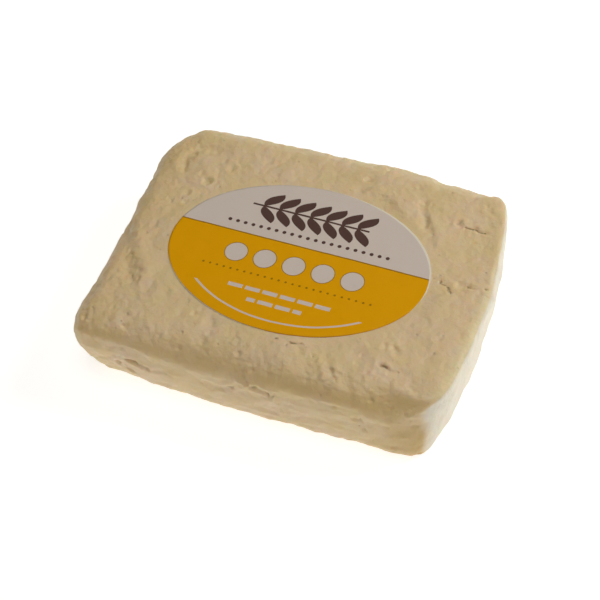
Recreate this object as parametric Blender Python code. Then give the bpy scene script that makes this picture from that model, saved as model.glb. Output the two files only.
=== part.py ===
"""A pressed block of paneer that lies on its base, with an oval paper label on its top face.

Metres, +Z up. The origin is the middle of the base, +X runs along the length, and -Y is the front.
Run it with blender --background --python part.py, or from Blender's text editor.
"""

import math

import bmesh
import bpy
import numpy as np
from mathutils import Vector, noise
from mathutils.bvhtree import BVHTree

# Driving sizes of the block and the label
LENGTH = 0.1074
WIDTH = 0.0828
HEIGHT = 0.0234
LABEL_LENGTH = 0.0731
LABEL_WIDTH = 0.0507
LABEL_CENTRE = (0.0002, -0.0015)
LABEL_TURN = math.radians(1.9)
LABEL_THICKNESS = 0.00025
LABEL_GAP = 0.0003

# How many rows divide each piece along X, Y and Z, and how far the block's crowd to its edges
BLOCK_ROWS = (54, 42, 12)
LABEL_ROWS = (24, 16, 1)
EDGE_CROWDING = 0.35

# Keeps a division safe where a length is nothing
TINY = 1e-9

# Values for the four sides stand in this order
SIDES = ("front", "right", "back", "left")
SIDE_DIRECTIONS = np.array([(0, -1), (1, 0), (0, 1), (-1, 0)], float)

# Plan corners, as signs of X and Y: the power of the curve at foot and top, where 2 is round,
# and the shift in plan
CORNER_ZONE = 0.014
CORNERS = {
    (-1, -1): (3.7, 3.7, 0.0025, 0.0),
    (1, -1): (5.0, 2.6, -0.0038, 0.0016),
    (1, 1): (4.6, 4.6, -0.0062, -0.0003),
    (-1, 1): (1.85, 1.85, 0.0004, -0.0025),
}

# For each side: how far the edge rounding reaches in from the wall and along it, at top and foot.
# The front's top edge isn't here, because it changes along the block.
TOP_REACH = np.array([0.0, 0.0014, 0.0060, 0.0070])
TOP_DROP = np.array([0.0, 0.0017, 0.0050, 0.0070])
FOOT_REACH = np.array([0.0030, 0.0015, 0.0030, 0.0040])
FOOT_RISE = np.array([0.0040, 0.0020, 0.0040, 0.0060])

# Places along X, and how far the front's top edge reaches in and drops there
FRONT_EDGE = (
    (-0.0445, 0.0080, 0.0040),
    (-0.0100, 0.0110, 0.0075),
    (0.0310, 0.0095, 0.0050),
    (0.0400, 0.0095, 0.0072),
    (0.0520, 0.0105, 0.0092),
)

# For each side: 1 where the top edge is rounded evenly, more where it turns crisply into the wall
TOP_TURN = np.array([1.25, 1.0, 1.0, 1.0])

# For each side: how far the wall bows out along its length, and between top and foot
WALL_BOW = np.array([0.0, 0.0048, 0.0015, -0.0010])
WALL_BELLY = np.array([0.0006, 0.0004, 0.0010, 0.0008])

# How far the top of the cut right wall leans out, at its front end and at its back end
RIGHT_LEAN = (0.0032, 0.0009)

# The front left foot is pinched in: place in plan, spread, how far in, and below which height
PINCH_PLACE = (-0.0523, -0.040)
PINCH_SPREAD = 0.022
PINCH_IN = 0.0029
PINCH_HEIGHT = 0.0155

# Lips that stand out: place, spread in plan, rise in height, and how far out
LIPS = (
    (-0.0523, -0.040, 0.0155, 0.009, 0.0045, 0.0007),
    (0.021, 0.040, 0.0200, 0.010, 0.0200, 0.0006),
)

# The back wall steps in near the right corner
BACK_STEP_X = 0.0325
BACK_STEP_SPREAD = 0.0040
BACK_STEP_IN = 0.0011

# Broad swells and hollows of the surface: place, radius and height
SWELLS = (
    (-0.0308, 0.0290, HEIGHT, 0.0110, 0.0002),
    (-0.0128, 0.0310, HEIGHT, 0.0070, 0.0004),
    (0.0252, 0.0270, HEIGHT, 0.0090, 0.0006),
    (0.0432, 0.0310, HEIGHT, 0.0070, 0.0002),
    (0.0412, 0.0125, HEIGHT, 0.0080, -0.0005),
    (0.0432, -0.0060, HEIGHT, 0.0080, 0.0005),
    (0.0422, -0.0270, HEIGHT, 0.0090, 0.0005),
    (-0.0408, -0.0280, HEIGHT, 0.0090, -0.0006),
    (-0.0308, -0.0310, HEIGHT, 0.0060, 0.0004),
    (0.0092, -0.0330, HEIGHT, 0.0050, 0.0006),
    (-0.0384, 0.0231, HEIGHT, 0.0035, 0.0004),
    (0.0455, -0.0390, 0.0200, 0.0100, -0.0018),
    (-0.0348, 0.0170, HEIGHT, 0.0022, -0.0006),
    (0.0375, 0.0238, HEIGHT, 0.0022, -0.0006),
    (0.0352, -0.0218, HEIGHT, 0.0024, -0.0007),
    (0.0330, -0.0320, 0.0224, 0.0022, -0.0005),
    (0.0319, -0.0410, 0.0130, 0.0030, -0.0005),
)

# Cracks and creases: half width, depth, and the path; a negative depth is a ridge
GROOVES = (
    (0.0026, 0.0011, ((-0.0506, -0.0052, 0.0216), (-0.0466, -0.0123, 0.0216), (-0.0413, -0.0194, 0.0216))),
    (0.0022, -0.0006, ((-0.0458, -0.0064, 0.0232), (-0.0418, -0.0134, 0.0232), (-0.0366, -0.0205, 0.0232))),
    (0.0018, 0.0007, ((0.0377, 0.0032, HEIGHT), (0.0422, 0.0017, HEIGHT), (0.0472, 0.0037, HEIGHT),
                      (0.0512, 0.0036, 0.0210))),
    (0.0017, 0.0006, ((0.0387, 0.0232, HEIGHT), (0.0432, 0.0222, HEIGHT), (0.0492, 0.0240, 0.0215))),
    (0.0017, 0.0006, ((0.0029, -0.0276, HEIGHT), (0.0102, -0.0284, HEIGHT), (0.0166, -0.0312, HEIGHT))),
    (0.0017, 0.0013, ((0.0214, -0.0330, 0.0222), (0.0232, -0.0362, 0.0205))),
    (0.0018, -0.0005, ((0.0126, -0.0292, HEIGHT), (0.0192, -0.0326, 0.0228), (0.0218, -0.0362, 0.0208))),
    (0.0018, -0.0005, ((0.0112, 0.0290, HEIGHT), (0.0172, 0.0268, HEIGHT), (0.0227, 0.0218, HEIGHT))),
    (0.0016, 0.0008, ((0.0002, -0.0378, 0.0196), (0.0001, -0.0397, 0.0175))),
    (0.0016, 0.0007, ((-0.0058, -0.0408, 0.0125), (0.0001, -0.0397, 0.0172), (0.0041, -0.0401, 0.0164),
                      (0.0074, -0.0408, 0.0143))),
    (0.0016, 0.0008, ((-0.0341, -0.0411, 0.0130), (-0.0291, -0.0410, 0.0111))),
    (0.0016, 0.0008, ((-0.0377, -0.0408, 0.0103), (-0.0332, -0.0402, 0.0065))),
    (0.0016, 0.0009, ((0.0387, -0.0372, 0.0197), (0.0446, -0.0376, 0.0195))),
)

# A round crease near the back left corner: centre, radius, half width, depth, and its two ends
RING_CENTRE = (-0.0384, 0.0231)
RING_RADIUS = 0.0060
RING_WIDTH = 0.0018
RING_DEPTH = 0.0008
RING_ENDS = (math.radians(70), math.radians(215))

# Uneven surface all over: size of the lumps and their height, and how much stays under the label
LUMPS = ((0.0130, 0.00045), (0.0050, 0.00022))
UNDER_LABEL = 0.25
FOOT_FADE = 0.0020

# Colours in linear light, and roughness
CHEESE_COLOUR = (0.60, 0.45, 0.26)
CHEESE_ROUGHNESS = 0.55
LABEL_COLOUR = (0.60, 0.30, 0.01)
LABEL_ROUGHNESS = 0.45


def bump(distance, radius):
    """A smooth bell that is 1 at no distance and fades out over the radius."""
    return np.exp(-((distance / radius) ** 2))


def smooth_step(value):
    """A smooth step from 0 to 1 as the value goes from 0 to 1."""
    held = np.clip(value, 0, 1)
    return held * held * (3 - 2 * held)


def side_share(outward):
    """How much of each point's outward direction belongs to each of the four sides."""
    return np.maximum(outward @ SIDE_DIRECTIONS.T, 0) ** 2


def front_edge(x):
    """How far the front's top edge reaches in, and drops, at each place along X."""
    values = np.tile(FRONT_EDGE[0][1:], (len(x), 1))
    for before, after in zip(FRONT_EDGE[:-1], FRONT_EDGE[1:]):
        step = smooth_step((x - before[0]) / (after[0] - before[0]))
        values += step[:, None] * np.subtract(after[1:], before[1:])
    return values.T


def corner_powers(points):
    """The power of the plan curve at each point's own corner."""
    power = np.full(len(points), 2.0)
    level = points[:, 2] / HEIGHT + 0.5
    for (side_x, side_y), values in CORNERS.items():
        own = (np.sign(points[:, 0]) == side_x) & (np.sign(points[:, 1]) == side_y)
        power[own] = values[0] + (values[1] - values[0]) * level[own]
    return power[:, None]


def rounded_block(unit):
    """Points of a cube from -1 to 1 moved to a block with rounded corners and edges.

    Returns the points, their outward direction in plan, and how near the walls each is, 0 to 1.
    """
    half = np.array([LENGTH, WIDTH, HEIGHT]) / 2
    points = half * ((1 - EDGE_CROWDING) * unit + EDGE_CROWDING * np.sin(unit * math.pi / 2))
    sign = np.sign(points)

    # In plan, each square corner zone becomes a curved one, ring by ring
    over = np.maximum(np.abs(points[:, :2]) - (half[:2] - CORNER_ZONE), 0)
    power = corner_powers(points)
    ring = over.max(axis=1, keepdims=True)
    size = np.maximum((over**power).sum(axis=1, keepdims=True) ** (1 / power), TINY)
    curved = over * ring / size
    points[:, :2] += sign[:, :2] * (curved - over)
    outward = sign[:, :2] * (curved / np.maximum(ring, TINY)) ** (power - 1)
    outward /= np.maximum(np.linalg.norm(outward, axis=1, keepdims=True), TINY)

    # In section, each edge becomes a quarter of an ellipse
    share = side_share(outward)
    top = points[:, 2] > 0
    front = share[:, SIDES.index("front")]
    front_reach, front_drop = front_edge(points[:, 0])
    top_reach = share @ TOP_REACH + front * front_reach
    top_drop = share @ TOP_DROP + front * front_drop
    reach = np.maximum(np.where(top, top_reach, share @ FOOT_REACH), TINY)
    drop = np.maximum(np.where(top, top_drop, share @ FOOT_RISE), TINY)
    inwards = np.maximum(reach - (CORNER_ZONE - ring[:, 0]), 0)
    upwards = np.maximum(drop - (half[2] - np.abs(points[:, 2])), 0)
    furthest = np.maximum(inwards / reach, upwards / drop)
    stretch = np.maximum(np.hypot(inwards / reach, upwards / drop), TINY)
    keep = np.where(np.minimum(inwards, upwards) > 0, furthest / stretch, 1)
    points[:, :2] -= outward * (inwards * (1 - keep))[:, None]
    turn = np.where(top, share @ TOP_TURN, 1)
    upright = drop * (upwards * keep / drop) ** turn
    points[:, 2] += half[2] - sign[:, 2] * (upwards - upright)
    return points, outward, ring[:, 0] / CORNER_ZONE


def hand_shaped(points, outward, wallward):
    """The rounded block with the uneven outline of one that was pressed and cut by hand."""
    x, y, z = points.T
    level = z / HEIGHT
    share = side_share(outward)
    along = np.stack([x / LENGTH, y / WIDTH, x / LENGTH, y / WIDTH], axis=1) * 2

    # Walls lean, bow and belly out
    shift = np.zeros((len(points), 2))
    for (side_x, side_y), values in CORNERS.items():
        weight = (1 + side_x * 2 * x / LENGTH) * (1 + side_y * 2 * y / WIDTH) / 4
        shift += weight[:, None] * values[2:]
    out = (share * (1 - along**2)) @ WALL_BOW + (share @ WALL_BELLY) * 4 * level * (1 - level)
    lean = np.interp(y / WIDTH, (-0.5, 0.5), RIGHT_LEAN)
    out += share[:, SIDES.index("right")] * lean * level

    # The pinched foot, the lips, and the step in the back wall
    pinch = bump(np.hypot(x - PINCH_PLACE[0], y - PINCH_PLACE[1]), PINCH_SPREAD)
    out -= PINCH_IN * pinch * smooth_step(1 - z / PINCH_HEIGHT)
    for place_x, place_y, place_z, spread, rise, far_out in LIPS:
        out += far_out * bump(np.hypot(x - place_x, y - place_y), spread) * bump(z - place_z, rise)
    back = share[:, SIDES.index("back")]
    out -= BACK_STEP_IN * back * smooth_step((x - BACK_STEP_X) / BACK_STEP_SPREAD + 0.5)

    shaped = points.copy()
    shaped[:, :2] += shift + outward * (out * wallward)[:, None]
    return fitted(shaped)


def fitted(points):
    """The points centred on the origin and brought to the exact length, width and height."""
    low, high = points.min(axis=0), points.max(axis=0)
    middle = np.array([(low[0] + high[0]) / 2, (low[1] + high[1]) / 2, low[2]])
    return (points - middle) * [LENGTH, WIDTH, HEIGHT] / (high - low)


def distance_to_path(points, path):
    """Each point's distance to the nearest stretch of a path."""
    nearest = np.full(len(points), np.inf)
    for start, end in zip(path[:-1], path[1:]):
        stretch = np.subtract(end, start)
        along = np.clip((points - start) @ stretch / (stretch @ stretch), 0, 1)
        gap = np.linalg.norm(points - start - along[:, None] * stretch, axis=1)
        nearest = np.minimum(nearest, gap)
    return nearest


def outside_label(points):
    """0 under the label, rising to 1 a little way outside its edge."""
    across = points[:, :2] - LABEL_CENTRE
    cos, sin = math.cos(LABEL_TURN), math.sin(LABEL_TURN)
    turned = across @ np.array([(cos, -sin), (sin, cos)])
    radius = np.linalg.norm(turned / [LABEL_LENGTH / 2, LABEL_WIDTH / 2], axis=1)
    return smooth_step((radius - 1) * 8)


def ring_path():
    """The path of the round crease, as short straight stretches."""
    angles = np.linspace(RING_ENDS[0], RING_ENDS[1], 9)
    return [
        (RING_CENTRE[0] + RING_RADIUS * math.cos(a), RING_CENTRE[1] + RING_RADIUS * math.sin(a), HEIGHT)
        for a in angles
    ]


def relief(points):
    """How far each point of the surface stands out, with its swells, creases and lumps."""
    features = np.zeros(len(points))
    for place_x, place_y, place_z, radius, height in SWELLS:
        away = np.linalg.norm(points - [place_x, place_y, place_z], axis=1)
        features += height * bump(away, radius)
    for half_width, depth, path in GROOVES + ((RING_WIDTH, RING_DEPTH, ring_path()),):
        features -= depth * bump(distance_to_path(points, path), half_width)
    uneven = np.zeros(len(points))
    for size, height in LUMPS:
        uneven += [height * noise.noise(Vector(point) / size) for point in points]
    clear = outside_label(points)
    total = features * clear + uneven * (UNDER_LABEL + (1 - UNDER_LABEL) * clear)
    return total * smooth_step(points[:, 2] / FOOT_FADE)


def divided_cube(rows):
    """A cube from -1 to 1 whose faces are divided into rows along each axis."""
    bm = bmesh.new()
    bmesh.ops.create_cube(bm, size=2)
    for axis, count in enumerate(rows):
        along = [e for e in bm.edges if abs((e.verts[0].co - e.verts[1].co)[axis]) > TINY]
        bmesh.ops.subdivide_edges(bm, edges=along, cuts=count - 1, use_grid_fill=True)
    return bm


def place_vertices(bm, points):
    """Move the vertices to the points, in order."""
    for vert, point in zip(bm.verts, points):
        vert.co = point
    bm.normal_update()


def new_object(name, bm, material, collection):
    """A smooth object in the collection, made from the mesh, with the material."""
    mesh = bpy.data.meshes.new(name)
    bm.to_mesh(mesh)
    bm.free()
    mesh.shade_smooth()
    mesh.materials.append(material)
    obj = bpy.data.objects.new(name, mesh)
    collection.objects.link(obj)
    return obj


def principled(name, colour, roughness):
    """A Principled material that isn't metallic."""
    material = bpy.data.materials.new(name)
    material.use_nodes = True
    shader = material.node_tree.nodes["Principled BSDF"]
    shader.inputs["Base Color"].default_value = (*colour, 1)
    shader.inputs["Roughness"].default_value = roughness
    shader.inputs["Metallic"].default_value = 0
    return material


def build_block(collection):
    """The block: a divided cube, shaped in plan and section, then given its relief."""
    bm = divided_cube(BLOCK_ROWS)
    unit = np.array([vert.co for vert in bm.verts], float)
    points = hand_shaped(*rounded_block(unit))
    place_vertices(bm, points)
    normals = np.array([vert.normal for vert in bm.verts])
    place_vertices(bm, fitted(points + normals * relief(points)[:, None]))

    # The flat part of the base becomes one face
    flat = [f for f in bm.faces if max(vert.co.z for vert in f.verts) < TINY]
    bmesh.ops.dissolve_faces(bm, faces=flat)
    material = principled("cheese", CHEESE_COLOUR, CHEESE_ROUGHNESS)
    return new_object("paneer_block", bm, material, collection)


def build_label(collection, block):
    """The label: a thin oval disc that follows the block's top face."""
    bm = divided_cube(LABEL_ROWS)
    unit = np.array([vert.co for vert in bm.verts], float)
    reach = np.abs(unit[:, :2]).max(axis=1) / np.maximum(np.linalg.norm(unit[:, :2], axis=1), TINY)
    oval = unit[:, :2] * reach[:, None] * [LABEL_LENGTH / 2, LABEL_WIDTH / 2]
    cos, sin = math.cos(LABEL_TURN), math.sin(LABEL_TURN)
    plan = oval @ np.array([(cos, sin), (-sin, cos)]) + LABEL_CENTRE

    surface = BVHTree.FromPolygons(
        [vert.co for vert in block.data.vertices], [face.vertices for face in block.data.polygons]
    )
    points = []
    for (x, y), side in zip(plan, unit[:, 2]):
        hit = surface.ray_cast(Vector((x, y, 2 * HEIGHT)), Vector((0, 0, -1)))[0]
        lift = LABEL_GAP + (LABEL_THICKNESS if side > 0 else 0)
        points.append((x, y, hit.z + lift))
    place_vertices(bm, points)
    material = principled("label_paper", LABEL_COLOUR, LABEL_ROUGHNESS)
    return new_object("label", bm, material, collection)


def main():
    for old in list(bpy.data.objects):
        bpy.data.objects.remove(old, do_unlink=True)
    collection = bpy.data.collections.new("paneer")
    bpy.context.scene.collection.children.link(collection)
    block = build_block(collection)
    build_label(collection, block)


main()
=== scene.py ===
"""The look of a pressed block of paneer with an oval paper label on its top face.

Metres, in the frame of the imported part: +X along the block towards its cut side, -Y towards the front.
"""

import math

import bmesh
import bpy
import numpy as np
from mathutils import Matrix, Vector, noise
from mathutils.bvhtree import BVHTree


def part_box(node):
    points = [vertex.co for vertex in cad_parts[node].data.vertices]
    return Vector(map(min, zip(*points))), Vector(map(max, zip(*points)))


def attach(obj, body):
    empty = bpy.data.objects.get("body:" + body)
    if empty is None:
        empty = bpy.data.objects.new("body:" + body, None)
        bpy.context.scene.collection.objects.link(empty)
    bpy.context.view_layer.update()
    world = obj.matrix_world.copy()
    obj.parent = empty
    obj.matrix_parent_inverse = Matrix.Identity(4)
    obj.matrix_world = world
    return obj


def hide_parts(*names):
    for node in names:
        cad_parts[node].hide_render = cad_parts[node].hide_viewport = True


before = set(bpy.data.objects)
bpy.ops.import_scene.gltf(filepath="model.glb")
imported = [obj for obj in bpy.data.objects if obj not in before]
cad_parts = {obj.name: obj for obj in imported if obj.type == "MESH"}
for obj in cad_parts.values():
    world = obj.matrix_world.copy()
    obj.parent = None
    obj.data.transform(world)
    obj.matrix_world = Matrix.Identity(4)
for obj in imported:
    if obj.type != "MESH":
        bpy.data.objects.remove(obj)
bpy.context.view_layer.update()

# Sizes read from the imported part
BLOCK_LOW, BLOCK_HIGH = (np.array(corner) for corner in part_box("paneer_block"))
LENGTH, WIDTH, HEIGHT = BLOCK_HIGH - BLOCK_LOW
LABEL_LOW, LABEL_HIGH = (np.array(corner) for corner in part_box("label"))
LABEL_LENGTH, LABEL_WIDTH = (LABEL_HIGH - LABEL_LOW)[:2]
LABEL_CENTRE = ((LABEL_HIGH + LABEL_LOW) / 2)[:2]
LABEL_TURN = math.radians(1.9)
PAPER_THICKNESS = 0.00014
PAPER_GAP = 0.00003

# How many rows divide each piece along X, Y and Z, and how far the block's crowd to its edges
BLOCK_ROWS = (252, 196, 46)
LABEL_ROWS = (150, 100, 1)
EDGE_CROWDING = 0.30

# Keeps a division safe where a length is nothing, and starts the random draws
TINY = 1e-9
SEED = 7

# The photograph's view: where the camera stands, what it aims at, and its lens on a square frame
CAMERA_AZIMUTH = math.radians(27.31)
CAMERA_ELEVATION = math.radians(51.48)
CAMERA_ROLL = math.radians(7.0)
CAMERA_DISTANCE = 0.4496
CAMERA_AIM = (-0.0022, 0.0014, 0.0)
SENSOR_WIDTH = 36.0
LENS = 96.0
CLIP_START = 0.01

# Square soft lights: name, azimuth and elevation in degrees, distance, size and power
LIGHTS = (
    ("top", 15, 83, 1.2, 0.70, 5.7),
    ("key", 131, 40, 0.7, 0.20, 1.7),
)
LIGHT_COLOUR = (1.0, 0.985, 0.965)

# The floor glows a little, so that it shows pure white and lights the walls from below
FLOOR_SIZE = 2.0
FLOOR_COLOUR = (0.50, 0.50, 0.50, 1.0)
FLOOR_GLOW_COLOUR = (1.0, 0.99, 0.97, 1.0)
FLOOR_GLOW = 0.80
FLOOR_ROUGHNESS = 0.9

# Values for the four sides stand in this order
SIDES = ("front", "right", "back", "left")
SIDE_DIRECTIONS = np.array([(0, -1), (1, 0), (0, 1), (-1, 0)], float)

# Plan corners, as signs of X and Y: the power of the curve at foot and top, where 2 is round,
# and the shift in plan
CORNER_ZONE = 0.014
CORNERS = {
    (-1, -1): (3.7, 3.7, 0.0025, 0.0),
    (1, -1): (5.0, 2.6, -0.0038, 0.0016),
    (1, 1): (4.6, 4.6, -0.0062, -0.0003),
    (-1, 1): (1.85, 1.85, 0.0004, -0.0025),
}

# For each side: how far the edge rounding reaches in from the wall and along it, at top and foot.
# The front's top edge isn't here, because it changes along the block.
TOP_REACH = np.array([0.0, 0.0014, 0.0060, 0.0070])
TOP_DROP = np.array([0.0, 0.0017, 0.0050, 0.0070])
FOOT_REACH = np.array([0.0030, 0.0015, 0.0030, 0.0040])
FOOT_RISE = np.array([0.0040, 0.0020, 0.0040, 0.0060])

# Places along X, and how far the front's top edge reaches in and drops there
FRONT_EDGE = (
    (-0.0445, 0.0080, 0.0040),
    (-0.0100, 0.0110, 0.0075),
    (0.0310, 0.0095, 0.0050),
    (0.0400, 0.0095, 0.0072),
    (0.0520, 0.0105, 0.0092),
)

# For each side: 1 where the top edge is rounded evenly, more where it turns crisply into the wall
TOP_TURN = np.array([1.25, 1.0, 1.0, 1.0])

# For each side: how far the wall bows out along its length, and between top and foot
WALL_BOW = np.array([0.0, 0.0048, 0.0015, -0.0010])
WALL_BELLY = np.array([0.0006, 0.0004, 0.0010, 0.0008])

# How far the top of the cut right wall leans out, at its front end and at its back end
RIGHT_LEAN = (0.0032, 0.0009)

# The front left foot is pinched in: place in plan, spread, how far in, and below which height
PINCH_PLACE = (-0.0523, -0.040)
PINCH_SPREAD = 0.022
PINCH_IN = 0.0029
PINCH_HEIGHT = 0.0155

# Lips that stand out: place, spread in plan, rise in height, and how far out
LIPS = (
    (-0.0523, -0.040, 0.0155, 0.009, 0.0045, 0.0007),
    (0.021, 0.040, 0.0200, 0.010, 0.0200, 0.0006),
)

# The back wall steps in near the right corner
BACK_STEP_X = 0.0325
BACK_STEP_SPREAD = 0.0040
BACK_STEP_IN = 0.0011

# Broad swells and hollows of the surface: place, radius and height
SWELLS = (
    (-0.0308, 0.0290, HEIGHT, 0.0110, 0.0002),
    (-0.0128, 0.0310, HEIGHT, 0.0070, 0.0004),
    (0.0252, 0.0270, HEIGHT, 0.0090, 0.0006),
    (0.0432, 0.0310, HEIGHT, 0.0070, 0.0002),
    (0.0412, 0.0125, HEIGHT, 0.0080, -0.0005),
    (0.0432, -0.0060, HEIGHT, 0.0080, 0.0005),
    (0.0422, -0.0270, HEIGHT, 0.0090, 0.0005),
    (-0.0408, -0.0280, HEIGHT, 0.0090, -0.0006),
    (-0.0308, -0.0310, HEIGHT, 0.0060, 0.0004),
    (0.0092, -0.0330, HEIGHT, 0.0050, 0.0006),
    (-0.0384, 0.0231, HEIGHT, 0.0035, 0.0004),
    (0.0455, -0.0390, 0.0200, 0.0100, -0.0018),
)

# Broad folds: half width, depth, and the path; a negative depth is a ridge
FOLDS = (
    (0.0026, 0.0011, ((-0.0506, -0.0052, 0.0216), (-0.0466, -0.0123, 0.0216), (-0.0413, -0.0194, 0.0216))),
    (0.0022, -0.0006, ((-0.0458, -0.0064, 0.0232), (-0.0418, -0.0134, 0.0232), (-0.0366, -0.0205, 0.0232))),
    (0.0012, -0.0005, ((0.0126, -0.0280, HEIGHT), (0.0172, -0.0315, 0.0230), (0.0199, -0.0328, 0.0222),
                       (0.0217, -0.0360, 0.0208))),
    (0.0009, -0.0004, ((-0.0128, 0.0232, HEIGHT), (-0.0082, 0.0246, HEIGHT), (-0.0028, 0.0250, HEIGHT))),
    (0.0007, -0.0003, ((0.0022, -0.0272, HEIGHT), (0.0082, -0.0276, HEIGHT), (0.0122, -0.0272, HEIGHT))),
    (0.0012, -0.0004, ((0.0292, 0.0240, HEIGHT), (0.0332, 0.0180, HEIGHT), (0.0342, 0.0150, HEIGHT))),
    (0.0014, 0.0005, ((0.0262, 0.0270, HEIGHT), (0.0292, 0.0200, HEIGHT))),
    (0.0014, -0.0004, ((0.0112, 0.0290, HEIGHT), (0.0172, 0.0268, HEIGHT), (0.0227, 0.0218, HEIGHT))),
)

# Cracks: half width, depth, and the path
CRACKS = (
    (0.0006, 0.0005, ((0.0372, 0.0037, HEIGHT), (0.0409, 0.0025, HEIGHT), (0.0430, 0.0003, HEIGHT))),
    (0.0006, 0.0009, ((0.0440, 0.0034, HEIGHT), (0.0458, 0.0037, HEIGHT), (0.0479, 0.0036, HEIGHT),
                      (0.0512, 0.0039, HEIGHT), (0.0528, 0.0028, 0.0215))),
    (0.0005, 0.0005, ((0.0394, 0.0232, HEIGHT), (0.0434, 0.0227, HEIGHT), (0.0456, 0.0229, HEIGHT),
                      (0.0490, 0.0229, 0.0222))),
    (0.0007, 0.0005, ((0.0029, -0.0276, HEIGHT), (0.0053, -0.0279, HEIGHT), (0.0088, -0.0283, HEIGHT),
                      (0.0120, -0.0279, HEIGHT), (0.0147, -0.0293, HEIGHT), (0.0166, -0.0312, HEIGHT))),
    (0.0009, 0.0016, ((0.0218, -0.0330, 0.0222), (0.0224, -0.0345, 0.0215))),
    (0.0005, 0.0008, ((0.0224, -0.0345, 0.0215), (0.0241, -0.0370, 0.0200))),
    (0.0007, 0.0010, ((-0.0006, -0.0379, 0.0196), (0.0001, -0.0397, 0.0175))),
    (0.0005, 0.0007, ((0.0017, -0.0375, 0.0198), (0.0001, -0.0397, 0.0175))),
    (0.0006, 0.0007, ((-0.0052, -0.0407, 0.0125), (-0.0021, -0.0405, 0.0150), (0.0001, -0.0397, 0.0172))),
    (0.0006, 0.0007, ((0.0012, -0.0399, 0.0170), (0.0041, -0.0401, 0.0164), (0.0063, -0.0403, 0.0159),
                      (0.0074, -0.0405, 0.0143))),
    (0.0006, 0.0005, ((-0.0389, -0.0407, 0.0167), (-0.0349, -0.0402, 0.0175))),
    (0.0007, 0.0010, ((-0.0341, -0.0411, 0.0130), (-0.0316, -0.0411, 0.0130), (-0.0291, -0.0410, 0.0111))),
    (0.0007, 0.0009, ((-0.0377, -0.0408, 0.0103), (-0.0358, -0.0405, 0.0084), (-0.0332, -0.0402, 0.0065))),
    (0.0006, 0.0008, ((0.0419, -0.0363, 0.0192), (0.0432, -0.0370, 0.0188), (0.0442, -0.0376, 0.0182))),
    (0.0006, 0.0005, ((0.0382, -0.0372, 0.0197), (0.0392, -0.0372, 0.0197))),
    (0.0005, 0.0005, ((0.0333, -0.0279, HEIGHT), (0.0374, -0.0289, HEIGHT))),
)

# A round crease near the back left corner: centre, radius, half width, depth, and its two ends
RING_CENTRE = (-0.0384, 0.0231)
RING_RADIUS = 0.0060
RING_WIDTH = 0.0012
RING_DEPTH = 0.0008
RING_ENDS = (math.radians(70), math.radians(215))

# Single pits: place, radius and depth
PITS = (
    (-0.0300, 0.0232, HEIGHT, 0.0009, 0.0006),
    (-0.0348, 0.0170, HEIGHT, 0.0012, 0.0009),
    (-0.0387, 0.0112, HEIGHT, 0.0009, 0.0005),
    (-0.0421, 0.0078, HEIGHT, 0.0008, 0.0005),
    (-0.0462, 0.0046, 0.0227, 0.0009, 0.0006),
    (-0.0140, -0.0292, 0.0229, 0.0016, 0.0004),
    (-0.0176, -0.0252, HEIGHT, 0.0007, 0.0006),
    (-0.0191, -0.0275, HEIGHT, 0.0006, 0.0005),
    (0.0375, 0.0238, HEIGHT, 0.0009, 0.0009),
    (0.0286, 0.0155, HEIGHT, 0.0007, 0.0006),
    (0.0082, 0.0312, HEIGHT, 0.0009, 0.0007),
    (0.0074, 0.0270, HEIGHT, 0.0011, 0.0005),
    (0.0326, -0.0216, HEIGHT, 0.0008, 0.0007),
    (0.0349, -0.0216, HEIGHT, 0.0010, 0.0010),
    (0.0363, -0.0227, HEIGHT, 0.0008, 0.0006),
    (0.0345, -0.0320, 0.0225, 0.0007, 0.0006),
    (0.0321, -0.0321, 0.0224, 0.0007, 0.0005),
    (0.0246, -0.0353, 0.0210, 0.0008, 0.0005),
    (0.0249, -0.0395, 0.0171, 0.0006, 0.0005),
    (0.0304, -0.0401, 0.0147, 0.0008, 0.0006),
    (0.0320, -0.0400, 0.0145, 0.0007, 0.0006),
    (0.0332, -0.0401, 0.0107, 0.0006, 0.0005),
    (0.0446, -0.0158, HEIGHT, 0.0007, 0.0004),
    (-0.0221, -0.0409, 0.0110, 0.0006, 0.0004),
)

# Small pits scattered over the skin: how many, their smallest and largest radius and depth, and the
# range of a second draw that makes many of them shallower
SCATTERED_PITS = 320
PIT_RADII = (0.0004, 0.0009)
PIT_DEPTHS = (0.00010, 0.00050)
PIT_SHARES = (0.3, 1.0)

# They lie where the skin faces up at least this much and is cut at most this much
PIT_LEAST_UP = -0.5
PIT_MOST_CUT = 0.2

# The low rim round each pit: how far out and how wide, as parts of its radius, and how high.
# Past the span, in radii, nothing of a pit is left.
PIT_RIM_OUT = 1.7
PIT_RIM_WIDTH = 0.6
PIT_RIM_HEIGHT = 0.22
PIT_SPAN = 4

# Patches over which the surface changes: their size, how sharply they end, and how common they are
CREASE_PATCHES = (0.011, 2.5, 0.4)
WRINKLE_PATCHES = (0.011, 2.0, 0.5)
CRACK_PATCHES = (0.0016, 2.2, 0.7)

# Steps aside, in metres, that give noises of one size different patterns
WARP_STEPS = (0.0, 0.1, 0.2)
CREASE_STEP = 1.0
WRINKLE_STEP = 2.0

# Cracks and pits are made ragged by warps: their size and reach
WARPS = ((0.0018, 0.0007), (0.0007, 0.0004))

# Between a crack's patches it keeps part of its depth and its dark line is this far away. The lips
# beside it stand out by a part of its depth. Far stands for no crack.
CRACK_LEAST = 0.4
CRACK_GAP = 0.0006
CRACK_LIP = 0.30
FAR = 0.01

# Wandering creases between the curds: how far apart, how wide, and how deep
CREASE_SIZE = 0.0052
CREASE_WIDTH = 0.16
CREASE_DEPTH = 0.00016

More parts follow.
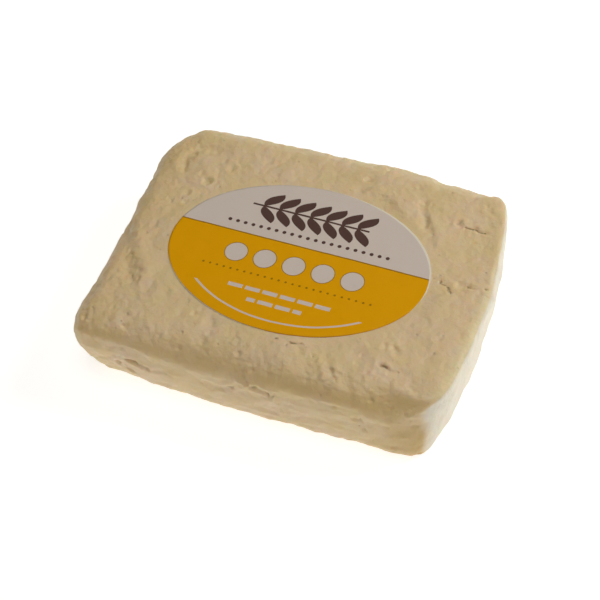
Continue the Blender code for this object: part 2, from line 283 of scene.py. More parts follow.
# Uneven surface all over: size of the lumps and their height, how much of the larger ones stays under
# the label, how soon all of it starts outside the label, and how much less fine the cut side is
LUMPS = ((0.0130, 0.00050), (0.0050, 0.00032), (0.0030, 0.00018))
FINE_LUMPS = ((0.0018, 0.00016), (0.0009, 0.00008))
UNDER_LABEL = 0.25
LABEL_CLEARING = 8
CUT_SMOOTHNESS = 0.6
FOOT_FADE = 0.0020

# Slanted wrinkles of the top face: their size along each axis, height and turn, and from which
# upward facing they start and over which they grow
WRINKLE_SIZE = np.array([0.0016, 0.0050, 0.0030])
WRINKLE_HEIGHT = 0.00016
WRINKLE_TURN = np.array(Matrix.Rotation(math.radians(35), 3, "Z"))
WRINKLE_UP = 0.6
WRINKLE_FADE = 0.3

# Long faint layers in the pressed walls: their size along each axis, how far they stand out, and how
# soon they end where the surface turns up
LAYER_SIZE = np.array([0.014, 0.014, 0.0013])
LAYER_HEIGHT = 0.00016
LAYER_FADE = 1.5

# The cut side: from which facing along +X it starts and over which it grows, and the same along X
CUT_FACING = 0.50
CUT_SPREAD = 0.30
CUT_START = 0.040
CUT_FADE = 0.004

# The pale strip beside the cut, a painted highlight where the top's edge turns towards the lights:
# where the top's edge runs, how it curves and how wide the strip is, and how much of it the back edge
# has, up to which facing
WALL_X = 0.0531
WALL_CURVE = 2.0
RIM_REACH = 0.0036
BACK_RIM_HIGHLIGHT = 0.6
BACK_FACING = 0.5

# Painted shade, a darker and deeper yellow, along the front's bend where it faces away from the lights:
# how far it faces the front, with its spread, how soon it fades where the wall is upright, and its
# share, which grows towards the right
CREST_FACING = 0.72
CREST_SPREAD = 0.26
CREST_FADE = 0.5
CREST_LEAST = 0.45
CREST_MOST = 0.65
CREST_GROWTH = 0.035

# The same painted shade low down on the front right corner: where it starts out towards the corner,
# up to which facing along +X, and up to which height
CORNER_START = 0.0740
CORNER_FADE = 0.0120
CORNER_FACING = 0.98
CORNER_TURN = 0.34
CORNER_LOW = 0.0090
CORNER_HIGH = 0.0190

# The same painted shade at the left end: where it starts, how wide it grows, and its share
LEFT_START = -0.0350
LEFT_FADE = 0.0180
LEFT_SHADE_SHARE = 0.45

# Colours of the cheese
SKIN = (0.86, 0.66, 0.37, 1.0)
SKIN_PINK = (0.88, 0.665, 0.42, 1.0)
SKIN_YELLOW = (0.85, 0.65, 0.31, 1.0)
# Painted shade for sunk places, dots and crack lines
CAVITY_SHADE_COLOUR = (0.42, 0.27, 0.13, 1.0)
# Painted highlight for the rim beside the cut and for the back edge
RIM_HIGHLIGHT = (0.96, 0.80, 0.48, 1.0)
# Painted shade for the front's bend
CREST_SHADE = (0.75, 0.52, 0.205, 1.0)
CUT_FACE = (1.0, 0.88, 0.70, 1.0)

# Light inside the cheese: how much it bends, how far it goes in, that as parts for red, green and blue,
# and how much of it goes in
CHEESE_IOR = 1.42
CHEESE_DEPTH = 0.0012
CHEESE_DEPTH_BY_COLOUR = (1.0, 0.55, 0.28)
CHEESE_DEPTH_SHARE = 0.4

# Patterns of the skin: size of the noise, its detail, and the values between which it turns from 0 to 1
MOTTLE = (0.011, 3, 0.38, 0.62)
BLOTCH = (0.0042, 4, 0.35, 0.68)

# Dots, small sunk spots darkened with painted shade: cell size, radius in cells, and how many cells
# have one; and how much of the radius is even
DOTS = (0.0034, 0.16, 0.5)
DOT_CORE = 0.3

# A crack's dark line of painted shade: how near it starts, and how near it is full; and how deep a
# sunk place must be to be painted dark as shade
CRACK_LINE = (0.00050, 0.00008)
SUNK_DEPTHS = (0.0002, 0.0012)

# How much of its colour each pattern gives: the rim gives painted highlight, and the bend, sunk
# places, dots and cracks give painted shade
BLOTCH_SHARE = 0.5
RIM_HIGHLIGHT_SHARE = 0.8
CREST_SHADE_SHARE = 0.9
SUNK_SHADE_SHARE = 0.4
DOT_SHADE_SHARE = 0.15
CRACK_SHADE_SHARE = 0.65

# Roughness of the skin, and how much rougher the blotches are
CHEESE_ROUGHNESS = 0.42
BLOTCH_ROUGHNESS = 0.14

# Finest relief, in millimetres: grains with size, detail and height, and the depth of dots and cracks
MILLIMETRE = 0.001
GRAINS = ((0.0013, 4, 0.30), (0.0005, 2, 0.05))
DOT_DEPTH = 0.16
CRACK_DEPTH = 0.35

# Colours of the label, its shine and roughness, and its uneven roughness and grain as noise: size,
# detail and, for the roughness, how much
PAPER = (0.76, 0.65, 0.56, 1.0)
PAPER_EDGE = (0.90, 0.82, 0.68, 1.0)
YELLOW = (0.91, 0.42, 0.0, 1.0)
YELLOW_DEEP = (0.40, 0.20, 0.004, 1.0)
BROWN = (0.115, 0.062, 0.050, 1.0)
PAPER_IOR = 1.35
PAPER_SHINE = 0.2
PAPER_ROUGHNESS = 0.42
PAPER_UNEVEN = (0.006, 3, 0.15)
PAPER_GRAIN = (0.0006, 3)
PAPER_GRAIN_DEPTH = 0.00003

# The two fields of the print, measured up from the label's centre, and the line between them
FIELD_TOP = 0.0041
FIELD_LINE = 0.0002

# The sprig: how far up and across, half its length, its height and slant, and its leaves and stem
SPRIG_UP = 0.0146
SPRIG_ACROSS = -0.0020
SPRIG_HALF = 0.0161
SPRIG_HEIGHT = 0.0054
SPRIG_SLANT = 0.75
LEAF_PITCH = 0.0046
LEAF_HALF = 0.00195
STEM_HALF = 0.0003
STEM_PAST = 0.0010

# Rows of beads: how far up, half length, pitch and radius
BEADS = ((0.0073, 0.02415, 0.00230, 0.00055), (-0.0088, 0.0250, 0.00200, 0.00034))

# The row of discs, and the line round each
DISCS_UP = -0.0030
DISCS_HALF = 0.0210
DISC_PITCH = 0.0084
DISC_RADIUS = 0.0031
DISC_LINE = 0.00022

# Rows of bars: how far up, half length and half thickness; and their pitch and half the gap between
BARS = ((-0.0137, 0.0150, 0.00062), (-0.0172, 0.0078, 0.00062))
BAR_PITCH = 0.0050
BAR_GAP_HALF = 0.0004

# The arc near the lower edge, in parts of the label's radius, and below which height it shows
ARC_INNER = 0.865
ARC_OUTER = 0.885
ARC_BELOW = -0.0150

# The pale edge shows a little more at the right, by this much, as a painted highlight where the label's
# edge catches the light
EDGE_HIGHLIGHT_SHIFT = 0.0003

# Cells that a repeated row is shifted by, so that its places are never below nothing
ROW_CELLS = 100


def bump(distance, radius):
    """A smooth bell that is 1 at no distance and fades out over the radius."""
    return np.exp(-((distance / radius) ** 2))


def smooth_step(value):
    """A smooth step from 0 to 1 as the value goes from 0 to 1."""
    held = np.clip(value, 0, 1)
    return held * held * (3 - 2 * held)


def side_share(outward):
    """How much of each point's outward direction belongs to each of the four sides."""
    return np.maximum(outward @ SIDE_DIRECTIONS.T, 0) ** 2


def front_edge(x):
    """How far the front's top edge reaches in, and drops, at each place along X."""
    values = np.tile(FRONT_EDGE[0][1:], (len(x), 1))
    for before, after in zip(FRONT_EDGE[:-1], FRONT_EDGE[1:]):
        step = smooth_step((x - before[0]) / (after[0] - before[0]))
        values += step[:, None] * np.subtract(after[1:], before[1:])
    return values.T


def corner_powers(points):
    """The power of the plan curve at each point's own corner."""
    power = np.full(len(points), 2.0)
    level = points[:, 2] / HEIGHT + 0.5
    for (side_x, side_y), values in CORNERS.items():
        own = (np.sign(points[:, 0]) == side_x) & (np.sign(points[:, 1]) == side_y)
        power[own] = values[0] + (values[1] - values[0]) * level[own]
    return power[:, None]


def rounded_block(unit):
    """Points of a cube from -1 to 1 moved to a block with rounded corners and edges.

    Returns the points, their outward direction in plan, and how near the walls each is, 0 to 1.
    """
    half = np.array([LENGTH, WIDTH, HEIGHT]) / 2
    points = half * ((1 - EDGE_CROWDING) * unit + EDGE_CROWDING * np.sin(unit * math.pi / 2))
    sign = np.sign(points)

    # In plan, each square corner zone becomes a curved one, ring by ring
    over = np.maximum(np.abs(points[:, :2]) - (half[:2] - CORNER_ZONE), 0)
    power = corner_powers(points)
    ring = over.max(axis=1, keepdims=True)
    size = np.maximum((over**power).sum(axis=1, keepdims=True) ** (1 / power), TINY)
    curved = over * ring / size
    points[:, :2] += sign[:, :2] * (curved - over)
    outward = sign[:, :2] * (curved / np.maximum(ring, TINY)) ** (power - 1)
    outward /= np.maximum(np.linalg.norm(outward, axis=1, keepdims=True), TINY)

    # In section, each edge becomes a quarter of an ellipse
    share = side_share(outward)
    top = points[:, 2] > 0
    front = share[:, SIDES.index("front")]
    front_reach, front_drop = front_edge(points[:, 0])
    top_reach = share @ TOP_REACH + front * front_reach
    top_drop = share @ TOP_DROP + front * front_drop
    reach = np.maximum(np.where(top, top_reach, share @ FOOT_REACH), TINY)
    drop = np.maximum(np.where(top, top_drop, share @ FOOT_RISE), TINY)
    inwards = np.maximum(reach - (CORNER_ZONE - ring[:, 0]), 0)
    upwards = np.maximum(drop - (half[2] - np.abs(points[:, 2])), 0)
    furthest = np.maximum(inwards / reach, upwards / drop)
    stretch = np.maximum(np.hypot(inwards / reach, upwards / drop), TINY)
    keep = np.where(np.minimum(inwards, upwards) > 0, furthest / stretch, 1)
    points[:, :2] -= outward * (inwards * (1 - keep))[:, None]
    turn = np.where(top, share @ TOP_TURN, 1)
    upright = drop * (upwards * keep / drop) ** turn
    points[:, 2] += half[2] - sign[:, 2] * (upwards - upright)
    return points, outward, ring[:, 0] / CORNER_ZONE


def hand_shaped(points, outward, wallward):
    """The rounded block with the uneven outline of one that was pressed and cut by hand."""
    x, y, z = points.T
    level = z / HEIGHT
    share = side_share(outward)
    along = np.stack([x / LENGTH, y / WIDTH, x / LENGTH, y / WIDTH], axis=1) * 2

    # Walls lean, bow and belly out
    shift = np.zeros((len(points), 2))
    for (side_x, side_y), values in CORNERS.items():
        weight = (1 + side_x * 2 * x / LENGTH) * (1 + side_y * 2 * y / WIDTH) / 4
        shift += weight[:, None] * values[2:]
    out = (share * (1 - along**2)) @ WALL_BOW + (share @ WALL_BELLY) * 4 * level * (1 - level)
    lean = np.interp(y / WIDTH, (-0.5, 0.5), RIGHT_LEAN)
    out += share[:, SIDES.index("right")] * lean * level

    # The pinched foot, the lips, and the step in the back wall
    pinch = bump(np.hypot(x - PINCH_PLACE[0], y - PINCH_PLACE[1]), PINCH_SPREAD)
    out -= PINCH_IN * pinch * smooth_step(1 - z / PINCH_HEIGHT)
    for place_x, place_y, place_z, spread, rise, far_out in LIPS:
        out += far_out * bump(np.hypot(x - place_x, y - place_y), spread) * bump(z - place_z, rise)
    back = share[:, SIDES.index("back")]
    out -= BACK_STEP_IN * back * smooth_step((x - BACK_STEP_X) / BACK_STEP_SPREAD + 0.5)

    shaped = points.copy()
    shaped[:, :2] += shift + outward * (out * wallward)[:, None]
    return fitted(shaped)


def fitted(points):
    """The points centred on the origin and brought to the exact length, width and height."""
    low, high = points.min(axis=0), points.max(axis=0)
    middle = np.array([(low[0] + high[0]) / 2, (low[1] + high[1]) / 2, low[2]])
    return (points - middle) * [LENGTH, WIDTH, HEIGHT] / (high - low)


def distance_to_path(points, path):
    """Each point's distance to the nearest stretch of a path."""
    nearest = np.full(len(points), np.inf)
    for start, end in zip(path[:-1], path[1:]):
        stretch = np.subtract(end, start)
        along = np.clip((points - start) @ stretch / (stretch @ stretch), 0, 1)
        gap = np.linalg.norm(points - start - along[:, None] * stretch, axis=1)
        nearest = np.minimum(nearest, gap)
    return nearest


def label_radius(points):
    """How far out each point is from the label's centre, where 1 is the label's edge."""
    across = points[:, :2] - LABEL_CENTRE
    cos, sin = math.cos(LABEL_TURN), math.sin(LABEL_TURN)
    turned = across @ np.array([(cos, -sin), (sin, cos)])
    return np.linalg.norm(turned / [LABEL_LENGTH / 2, LABEL_WIDTH / 2], axis=1)


def ring_path():
    """The path of the round crease, as short straight stretches."""
    angles = np.linspace(RING_ENDS[0], RING_ENDS[1], 9)
    return [
        (RING_CENTRE[0] + RING_RADIUS * math.cos(a), RING_CENTRE[1] + RING_RADIUS * math.sin(a), HEIGHT)
        for a in angles
    ]


def lumps(points, size, height):
    """Smooth noise with lumps of a size and a height."""
    return height * np.array([noise.noise(Vector(point)) for point in points / size])


def pit(points, place, radius, depth):
    """A pit with a low rim round it: how far each point is sunk."""
    away = np.linalg.norm(points - place, axis=1) / radius
    rim = bump(away - PIT_RIM_OUT, PIT_RIM_WIDTH)
    return depth * (bump(away, 1.0) - PIT_RIM_HEIGHT * rim)


def scattered_pits(points, normals, cut):
    """Small pits at random places on the skin, with none on the cut side or the base."""
    draw = np.random.default_rng(SEED)
    skin = (normals[:, 2] > PIT_LEAST_UP) & (cut < PIT_MOST_CUT)
    chosen = draw.choice(np.nonzero(skin)[0], SCATTERED_PITS)
    total = np.zeros(len(points))
    for place in points[chosen]:
        radius = draw.uniform(*PIT_RADII)
        depth = draw.uniform(*PIT_DEPTHS) * draw.uniform(*PIT_SHARES)
        near = np.abs(points - place).max(axis=1) < PIT_SPAN * radius
        total[near] += pit(points[near], place, radius, depth)
    return total


def patches(points, size, contrast, level):
    """Smooth patches of 1 between stretches of 0, of a size; a higher level makes more of them."""
    return smooth_step(lumps(points, size, contrast) + level)


def creases(points):
    """Thin creases that wander between the curds, here and there."""
    middle = np.abs(lumps(points, CREASE_SIZE, 1.0))
    return CREASE_DEPTH * bump(middle, CREASE_WIDTH) * patches(points + CREASE_STEP, *CREASE_PATCHES)


def warped(points):
    """The points shifted a little by noise, so that what is drawn through them becomes ragged."""
    ragged = points.copy()
    for size, reach in WARPS:
        ragged += np.stack([lumps(points + step, size, reach) for step in WARP_STEPS], axis=1)
    return ragged


def broad_relief(points, ragged):
    """How far each point stands out with the swells, the folds and the round crease."""
    total = np.zeros(len(points))
    for place_x, place_y, place_z, radius, height in SWELLS:
        away = np.linalg.norm(points - [place_x, place_y, place_z], axis=1)
        total += height * bump(away, radius)
    for half_width, depth, path in FOLDS + ((RING_WIDTH, RING_DEPTH, ring_path()),):
        total -= depth * bump(distance_to_path(ragged, path), half_width)
    return total


def sunk_relief(points, ragged, normals, cut):
    """How deep each point lies in cracks, pits and creases, and its distance to a crack."""
    sunk = np.zeros(len(points))
    crack = np.full(len(points), FAR)
    whole = patches(points, *CRACK_PATCHES)
    for half_width, depth, path in CRACKS:
        away = distance_to_path(ragged, path)
        sunk += depth * (CRACK_LEAST + (1 - CRACK_LEAST) * whole) * bump(away, half_width)
        sunk -= CRACK_LIP * depth * whole * bump(away - 2 * half_width, half_width)
        crack = np.minimum(crack, away + CRACK_GAP * (1 - whole))
    for place_x, place_y, place_z, radius, depth in PITS:
        sunk += pit(ragged, [place_x, place_y, place_z], radius, depth)
    sunk += scattered_pits(points, normals, cut) + creases(ragged) * (1 - cut)
    return sunk, crack


def fine_relief(points, ragged, normals, cut):
    """How far each point stands out with fine lumps, the top's wrinkles and the walls' layers."""
    fine = sum(lumps(points, size, height) for size, height in FINE_LUMPS) * (1 - CUT_SMOOTHNESS * cut)
    wrinkled = patches(points + WRINKLE_STEP, *WRINKLE_PATCHES) * (1 - cut)
    wrinkled *= smooth_step((normals[:, 2] - WRINKLE_UP) / WRINKLE_FADE)
    fine += lumps((ragged @ WRINKLE_TURN) / WRINKLE_SIZE, 1, WRINKLE_HEIGHT) * wrinkled
    wall = smooth_step(1 - np.abs(normals[:, 2]) * LAYER_FADE)
    return fine + lumps(points / LAYER_SIZE, 1, LAYER_HEIGHT) * wall * (1 - cut)


def block_relief(points, normals, cut):
    """How far each point stands out, how deep it lies in a crack or pit, and its distance to a crack."""
    ragged = warped(points)
    broad = broad_relief(points, ragged)
    sunk, crack = sunk_relief(points, ragged, normals, cut)
    fine = fine_relief(points, ragged, normals, cut)
    uneven = sum(lumps(points, size, height) for size, height in LUMPS)
    clear = smooth_step((label_radius(points) - 1) * LABEL_CLEARING)
    total = (broad - sunk + fine) * clear
    total += uneven * (UNDER_LABEL + (1 - UNDER_LABEL) * clear)
    return total, sunk * clear, crack


def divided_cube(rows):
    """A cube from -1 to 1 whose faces are divided into rows along each axis."""
    bm = bmesh.new()
    bmesh.ops.create_cube(bm, size=2)
    for axis, count in enumerate(rows):
        along = [e for e in bm.edges if abs((e.verts[0].co - e.verts[1].co)[axis]) > TINY]
        bmesh.ops.subdivide_edges(bm, edges=along, cuts=count - 1, use_grid_fill=True)
    return bm


def place_vertices(bm, points):
    """Move the vertices to the points, in order."""
    for vert, point in zip(bm.verts, points):
        vert.co = point
    bm.normal_update()


def add_values(bm, values):
    """Store named values at each vertex, for the material to read."""
    for name, numbers in values.items():
        layer = bm.verts.layers.float.new(name)
        for vert, number in zip(bm.verts, numbers):
            vert[layer] = number


def new_piece(name, bm, material):
    """A smooth object made from the mesh, with its material."""
    mesh = bpy.data.meshes.new(name)
    bm.to_mesh(mesh)
    bm.free()
    mesh.shade_smooth()
    mesh.materials.append(material)
    obj = bpy.data.objects.new(name, mesh)
    bpy.context.scene.collection.objects.link(obj)
    return obj


class Shader:
    """A Principled material whose node tree is built by short calls."""

    def __init__(self, name, **constants):
        self.material = bpy.data.materials.new(name)
        self.material.use_nodes = True
        self.tree = self.material.node_tree
        self.principled = self.tree.nodes["Principled BSDF"]
        for key, value in constants.items():
            self.principled.inputs[key.replace("_", " ")].default_value = value

    def node(self, kind, inputs=(), **settings):
        made = self.tree.nodes.new(kind)
        for key, value in settings.items():
            setattr(made, key, value)
        for key, value in dict(inputs).items():
            self.put(made.inputs[key], value)
        return made

    def put(self, socket, value):
        if isinstance(value, bpy.types.NodeSocket):
            self.tree.links.new(value, socket)
        else:
            socket.default_value = value

    def math(self, operation, first, second=0.0):
        made = self.node("ShaderNodeMath", {0: first, 1: second}, operation=operation)
        return made.outputs[0]

    def plus(self, first, second):
        return self.math("ADD", first, second)

    def minus(self, first, second):
        return self.math("SUBTRACT", first, second)

    def times(self, first, second):
        return self.math("MULTIPLY", first, second)

    def most(self, first, second):
        return self.math("MAXIMUM", first, second)

    def ramp(self, value, low, high):
        """0 at the low value, 1 at the high one, smooth between."""
        made = self.node(
            "ShaderNodeMapRange", {0: value, 1: low, 2: high}, interpolation_type="SMOOTHSTEP"
        )
        return made.outputs[0]

    def mix(self, share, first, second):
        made = self.node("ShaderNodeMix", data_type="RGBA")
        self.put(made.inputs["Factor"], share)
        self.put(made.inputs["A"], first)
        self.put(made.inputs["B"], second)
        return made.outputs["Result"]

    def coords(self, scale=(1, 1, 1)):
        place = self.node("ShaderNodeTexCoord").outputs["Object"]
        return self.node("ShaderNodeMapping", {"Vector": place, "Scale": scale}).outputs[0]

    def noise(self, size, detail):
        made = self.node(
            "ShaderNodeTexNoise", {"Vector": self.coords((1 / size,) * 3), "Scale": 1.0, "Detail": detail}
        )
        return made.outputs[0]

    def patches(self, size, detail, low, high):
        """Noise that turns from 0 to 1 between the low and the high value."""
        return self.ramp(self.noise(size, detail), low, high)

    def dots(self, size, radius, share):
        """Round spots at random places, 1 at their middle: cell size, radius in cells, and how many."""
        cells = self.node("ShaderNodeTexVoronoi", {"Vector": self.coords((1 / size,) * 3), "Scale": 1.0})
        draw = self.node("ShaderNodeSeparateColor", {0: cells.outputs["Color"]}).outputs[0]
        spot = self.ramp(cells.outputs["Distance"], radius, radius * DOT_CORE)
        return self.times(spot, self.math("LESS_THAN", draw, share))

    def attribute(self, name):
        return self.node("ShaderNodeAttribute", attribute_name=name).outputs["Fac"]

    def colour(self, socket):
        self.put(self.principled.inputs["Base Color"], socket)

    def roughness(self, socket):
        self.put(self.principled.inputs["Roughness"], socket)

    def relief(self, height, distance):
        made = self.node("ShaderNodeBump", {"Height": height, "Distance": distance, "Strength": 1.0})
        self.put(self.principled.inputs["Normal"], made.outputs[0])


def cheese_material():
    """Skin mottled pink and yellow, paler on the cut side; painted highlight at the rim, painted shade in
    bends and cracks.
    """
    shader = Shader(
        "cheese",
        IOR=CHEESE_IOR,
        Subsurface_Weight=CHEESE_DEPTH_SHARE,
        Subsurface_Scale=CHEESE_DEPTH,
        Subsurface_Radius=CHEESE_DEPTH_BY_COLOUR,
    )
    cut = shader.attribute("cut")
    blotch = shader.patches(*BLOTCH)
    dots = shader.times(shader.dots(*DOTS), shader.minus(1.0, cut))
    crack = shader.ramp(shader.attribute("crack"), *CRACK_LINE)
    sunk = shader.ramp(shader.attribute("sunk"), *SUNK_DEPTHS)

    skin = shader.mix(shader.patches(*MOTTLE), SKIN, SKIN_PINK)
    skin = shader.mix(shader.times(blotch, BLOTCH_SHARE), skin, SKIN_YELLOW)
    # Painted highlight at the rim, and painted shade along the front's bend
    skin = shader.mix(shader.times(shader.attribute("rim"), RIM_HIGHLIGHT_SHARE), skin, RIM_HIGHLIGHT)
    skin = shader.mix(shader.times(shader.attribute("crest_shade"), CREST_SHADE_SHARE), skin, CREST_SHADE)
    skin = shader.mix(cut, skin, CUT_FACE)
    # Painted shade: darker in sunk places, dots and crack lines
    deep = shader.most(shader.times(sunk, SUNK_SHADE_SHARE), shader.times(dots, DOT_SHADE_SHARE))
    deep = shader.most(deep, shader.times(crack, CRACK_SHADE_SHARE))
    shader.colour(shader.mix(deep, skin, CAVITY_SHADE_COLOUR))
    shader.roughness(shader.plus(shader.times(blotch, BLOTCH_ROUGHNESS), CHEESE_ROUGHNESS))

    grain = 0.0
    for size, detail, height in GRAINS:
        grain = shader.plus(grain, shader.times(shader.noise(size, detail), height))
    grain = shader.minus(grain, shader.times(dots, DOT_DEPTH))
    grain = shader.minus(grain, shader.times(crack, CRACK_DEPTH))
    shader.relief(grain, MILLIMETRE)
    return shader.material


def cheese_values(points, normals):
    """How much each point belongs to the cut side, the rim's painted highlight and the bends' painted
    shade.
    """
    facing = normals[:, 0]
    # The low part of the front right corner gets the bend's painted shade
    corner = smooth_step((points[:, 0] - points[:, 1] - CORNER_START) / CORNER_FADE)
    corner *= 1 - smooth_step((points[:, 2] - CORNER_LOW) / (CORNER_HIGH - CORNER_LOW))
    corner *= smooth_step((CORNER_FACING - facing) / CORNER_TURN)

    turned = smooth_step((facing - CUT_FACING) / CUT_SPREAD)
    cut = turned * smooth_step((points[:, 0] - CUT_START) / CUT_FADE) * (1 - corner)
    # Painted highlight beside the cut and on the back edge, where the skin faces the lights
    wall = points[:, 0] - WALL_X + WALL_CURVE * points[:, 1] ** 2
    rim = smooth_step(1 + wall / RIM_REACH) * (1 - turned)
    rim = np.maximum(rim, BACK_RIM_HIGHLIGHT * smooth_step(normals[:, 1] / BACK_FACING))

    # Painted shade along the front's bend, where it faces away from the lights, and at the left end
    crest_shade = bump(normals[:, 1] + CREST_FACING, CREST_SPREAD) * smooth_step(normals[:, 2] / CREST_FADE)
    crest_shade *= CREST_LEAST + (CREST_MOST - CREST_LEAST) * smooth_step(points[:, 0] / CREST_GROWTH)
    left = LEFT_SHADE_SHARE * smooth_step((LEFT_START - points[:, 0]) / LEFT_FADE)
    crest_shade = np.maximum(np.maximum(crest_shade, left) * (1 - cut), corner)
    return cut, rim, crest_shade


def build_block():
    """The block at fine resolution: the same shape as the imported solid, with its small relief."""
    bm = divided_cube(BLOCK_ROWS)
    unit = np.array([vert.co for vert in bm.verts], float)
    points = hand_shaped(*rounded_block(unit))
    place_vertices(bm, points)
    normals = np.array([vert.normal for vert in bm.verts])
    cut, rim, crest_shade = cheese_values(points, normals)
    out, sunk, crack = block_relief(points, normals, cut)
    offset = normals * out[:, None]
    offset[:, 2] *= smooth_step(points[:, 2] / FOOT_FADE)
    place_vertices(bm, fitted(points + offset))
    add_values(bm, {"cut": cut, "rim": rim, "crest_shade": crest_shade, "sunk": sunk, "crack": crack})

    # The flat part of the base becomes one face
    flat = [f for f in bm.faces if max(vert.co.z for vert in f.verts) < TINY]
    bmesh.ops.dissolve_faces(bm, faces=flat)
    piece = new_piece("cheese", bm, cheese_material())
    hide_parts("paneer_block")
    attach(piece, "root")
    return piece


class Print:
    """Masks for the print, from how far across and up a place is from the label's centre."""

    def __init__(self, shader):
        self.shader = shader
        place = shader.node("ShaderNodeSeparateXYZ", {0: shader.coords()})
        self.across = shader.minus(place.outputs[0], float(LABEL_CENTRE[0]))
        self.up = shader.minus(place.outputs[1], float(LABEL_CENTRE[1]))

    def below(self, value, limit):
        return self.shader.math("LESS_THAN", value, limit)

    def above(self, value, limit):
        return self.shader.math("GREATER_THAN", value, limit)

    def gap(self, value, centre):
        return self.shader.math("ABSOLUTE", self.shader.minus(value, centre))

    def within(self, value, centre, half):
        return self.below(self.gap(value, centre), half)

    def all_of(self, *masks):
        total = masks[0]
        for mask in masks[1:]:
            total = self.shader.times(total, mask)
        return total

    def repeated(self, value, pitch):
        """The distance from the middle of the nearest of the cells along a row."""
        return self.shader.math("PINGPONG", self.shader.plus(value, ROW_CELLS * pitch), pitch / 2)

    def length(self, first, second):
        squares = [self.shader.times(value, value) for value in (first, second)]
        return self.shader.math("SQRT", self.shader.plus(*squares))

    def radius(self, across):
        """How far out a place is, where 1 is the label's edge."""
        across = self.shader.math("DIVIDE", across, LABEL_LENGTH / 2)
        return self.length(across, self.shader.math("DIVIDE", self.up, LABEL_WIDTH / 2))

    def sprig(self):
        """Slanted leaves on both sides of a stem."""
        rise = self.gap(self.up, SPRIG_UP)
        along = self.shader.minus(self.across, SPRIG_ACROSS)
        root = self.shader.minus(along, self.shader.times(rise, SPRIG_SLANT))
        bulge = self.gap(self.shader.math("DIVIDE", rise, SPRIG_HEIGHT / 2), 1.0)
        width = self.shader.times(self.shader.minus(1.0, self.shader.times(bulge, bulge)), LEAF_HALF)
        leaf = self.below(self.repeated(root, LEAF_PITCH), width)
        leaves = self.all_of(leaf, self.below(rise, SPRIG_HEIGHT), self.within(root, 0.0, SPRIG_HALF))
        stem = self.all_of(self.below(rise, STEM_HALF), self.within(along, 0.0, SPRIG_HALF + STEM_PAST))
        return self.shader.most(leaves, stem)

    def round_row(self, row_up, half, pitch, radius):
        """A row of round spots."""
        away = self.length(self.repeated(self.across, pitch), self.gap(self.up, row_up))
        return self.all_of(self.below(away, radius), self.within(self.across, 0.0, half))

    def bar_row(self, row_up, half, thick):
        """A row of bars with gaps between them."""
        bar = self.above(self.repeated(self.across, BAR_PITCH), BAR_GAP_HALF)
        return self.all_of(self.within(self.up, row_up, thick), self.within(self.across, 0.0, half), bar)

    def arc(self):
        """A thin arc along the lower edge."""
        middle, half = (ARC_INNER + ARC_OUTER) / 2, (ARC_OUTER - ARC_INNER) / 2
        band = self.within(self.radius(self.across), middle, half)
        return self.all_of(band, self.below(self.up, ARC_BELOW))

    def unprinted_edge_and_highlight(self):
        """The edge of the paper, past the print, wider at the right as a painted highlight."""
        return self.above(self.radius(self.shader.plus(self.across, EDGE_HIGHLIGHT_SHIFT)), 1.0)


def label_material():
    """Printed paper: a leafy sprig on a pale field, and discs, beads and bars on a yellow one."""
    shader = Shader("label_paper", IOR=PAPER_IOR, Specular_IOR_Level=PAPER_SHINE)
    art = Print(shader)
    layers = [
        (art.above(art.up, FIELD_TOP), PAPER),
        (art.within(art.up, FIELD_TOP - FIELD_LINE, FIELD_LINE), YELLOW_DEEP),
        (art.sprig(), BROWN),
        (art.round_row(*BEADS[0]), BROWN),
        (art.round_row(*BEADS[1]), YELLOW_DEEP),
        (art.round_row(DISCS_UP, DISCS_HALF, DISC_PITCH, DISC_RADIUS + DISC_LINE), YELLOW_DEEP),
        (art.round_row(DISCS_UP, DISCS_HALF, DISC_PITCH, DISC_RADIUS), PAPER),
        (art.bar_row(*BARS[0]), PAPER),
        (art.bar_row(*BARS[1]), PAPER),
        (art.arc(), PAPER),
        # The pale paper edge, with a painted highlight along its right side
        (art.unprinted_edge_and_highlight(), PAPER_EDGE),
    ]
    colour = YELLOW
    for mask, ink in layers:
        colour = shader.mix(mask, colour, ink)
    shader.colour(colour)
    size, detail, share = PAPER_UNEVEN
    shader.roughness(shader.plus(shader.times(shader.noise(size, detail), share), PAPER_ROUGHNESS))
    shader.relief(shader.noise(*PAPER_GRAIN), PAPER_GRAIN_DEPTH)
    return shader.material


def build_label(block):
    """The label: a thin oval of paper laid on the block's top face."""
    bm = divided_cube(LABEL_ROWS)
    unit = np.array([vert.co for vert in bm.verts], float)
    reach = np.abs(unit[:, :2]).max(axis=1) / np.maximum(np.linalg.norm(unit[:, :2], axis=1), TINY)
    oval = unit[:, :2] * reach[:, None] * [LABEL_LENGTH / 2, LABEL_WIDTH / 2]
    cos, sin = math.cos(LABEL_TURN), math.sin(LABEL_TURN)
    plan = oval @ np.array([(cos, sin), (-sin, cos)]) + LABEL_CENTRE
    surface = BVHTree.FromPolygons(
        [vert.co for vert in block.data.vertices], [face.vertices for face in block.data.polygons]
    )
    points = []
    for (x, y), side in zip(plan, unit[:, 2]):
        hit = surface.ray_cast(Vector((x, y, 2 * HEIGHT)), Vector((0, 0, -1)))[0]
        points.append((x, y, hit.z + PAPER_GAP + (PAPER_THICKNESS if side > 0 else 0)))
    place_vertices(bm, points)
    piece = new_piece("paper_label", bm, label_material())
    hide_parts("label")
    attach(piece, "root")
    return piece


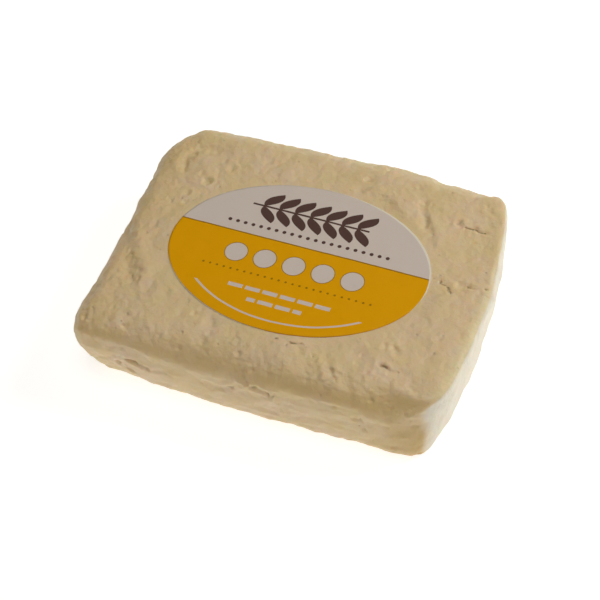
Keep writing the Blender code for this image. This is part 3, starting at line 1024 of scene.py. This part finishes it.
def direction(azimuth, elevation):
    """The way to a place seen from the block: azimuth from the front towards the right, in radians."""
    return Vector((
        math.sin(azimuth) * math.cos(elevation),
        -math.cos(azimuth) * math.cos(elevation),
        math.sin(elevation),
    ))


def facing_back(towards):
    """The turn of a camera or light that stands in a direction and looks back at the block."""
    return towards.to_track_quat("Z", "Y").to_matrix().to_4x4()


def build_camera():
    """The camera at the photograph's viewing angle."""
    towards = direction(CAMERA_AZIMUTH, CAMERA_ELEVATION)
    camera = bpy.data.objects.new("camera", bpy.data.cameras.new("camera"))
    camera.data.sensor_width = SENSOR_WIDTH
    camera.data.lens = LENS
    camera.data.clip_start = CLIP_START
    place = Matrix.Translation(Vector(CAMERA_AIM) + towards * CAMERA_DISTANCE)
    camera.matrix_world = place @ facing_back(towards) @ Matrix.Rotation(-CAMERA_ROLL, 4, "Z")
    bpy.context.scene.collection.objects.link(camera)
    bpy.context.scene.camera = camera


def add_light(name, azimuth, elevation, distance, size, power):
    """A square soft light that looks at the block from an azimuth and elevation in degrees."""
    towards = direction(math.radians(azimuth), math.radians(elevation))
    light = bpy.data.objects.new(name, bpy.data.lights.new(name, "AREA"))
    light.data.size = size
    light.data.energy = power
    light.data.color = LIGHT_COLOUR
    light.matrix_world = Matrix.Translation(towards * distance) @ facing_back(towards)
    bpy.context.scene.collection.objects.link(light)


def build_floor():
    """A plain pale floor that glows a little."""
    bm = bmesh.new()
    bmesh.ops.create_grid(bm, x_segments=2, y_segments=2, size=FLOOR_SIZE)
    shader = Shader("floor", Roughness=FLOOR_ROUGHNESS, Emission_Strength=FLOOR_GLOW)
    shader.principled.inputs["Emission Color"].default_value = FLOOR_GLOW_COLOUR
    shader.principled.inputs["Base Color"].default_value = FLOOR_COLOUR
    floor = new_piece("floor", bm, shader.material)


def build_stage():
    """The floor and soft studio lights, with no light from the surround."""
    build_floor()
    world = bpy.data.worlds.new("studio")
    world.use_nodes = True
    world.node_tree.nodes["Background"].inputs["Strength"].default_value = 0.0
    bpy.context.scene.world = world
    for light in LIGHTS:
        add_light(*light)
    bpy.context.scene.view_settings.view_transform = "Standard"


build_camera()
build_stage()
block_piece = build_block()
build_label(block_piece)
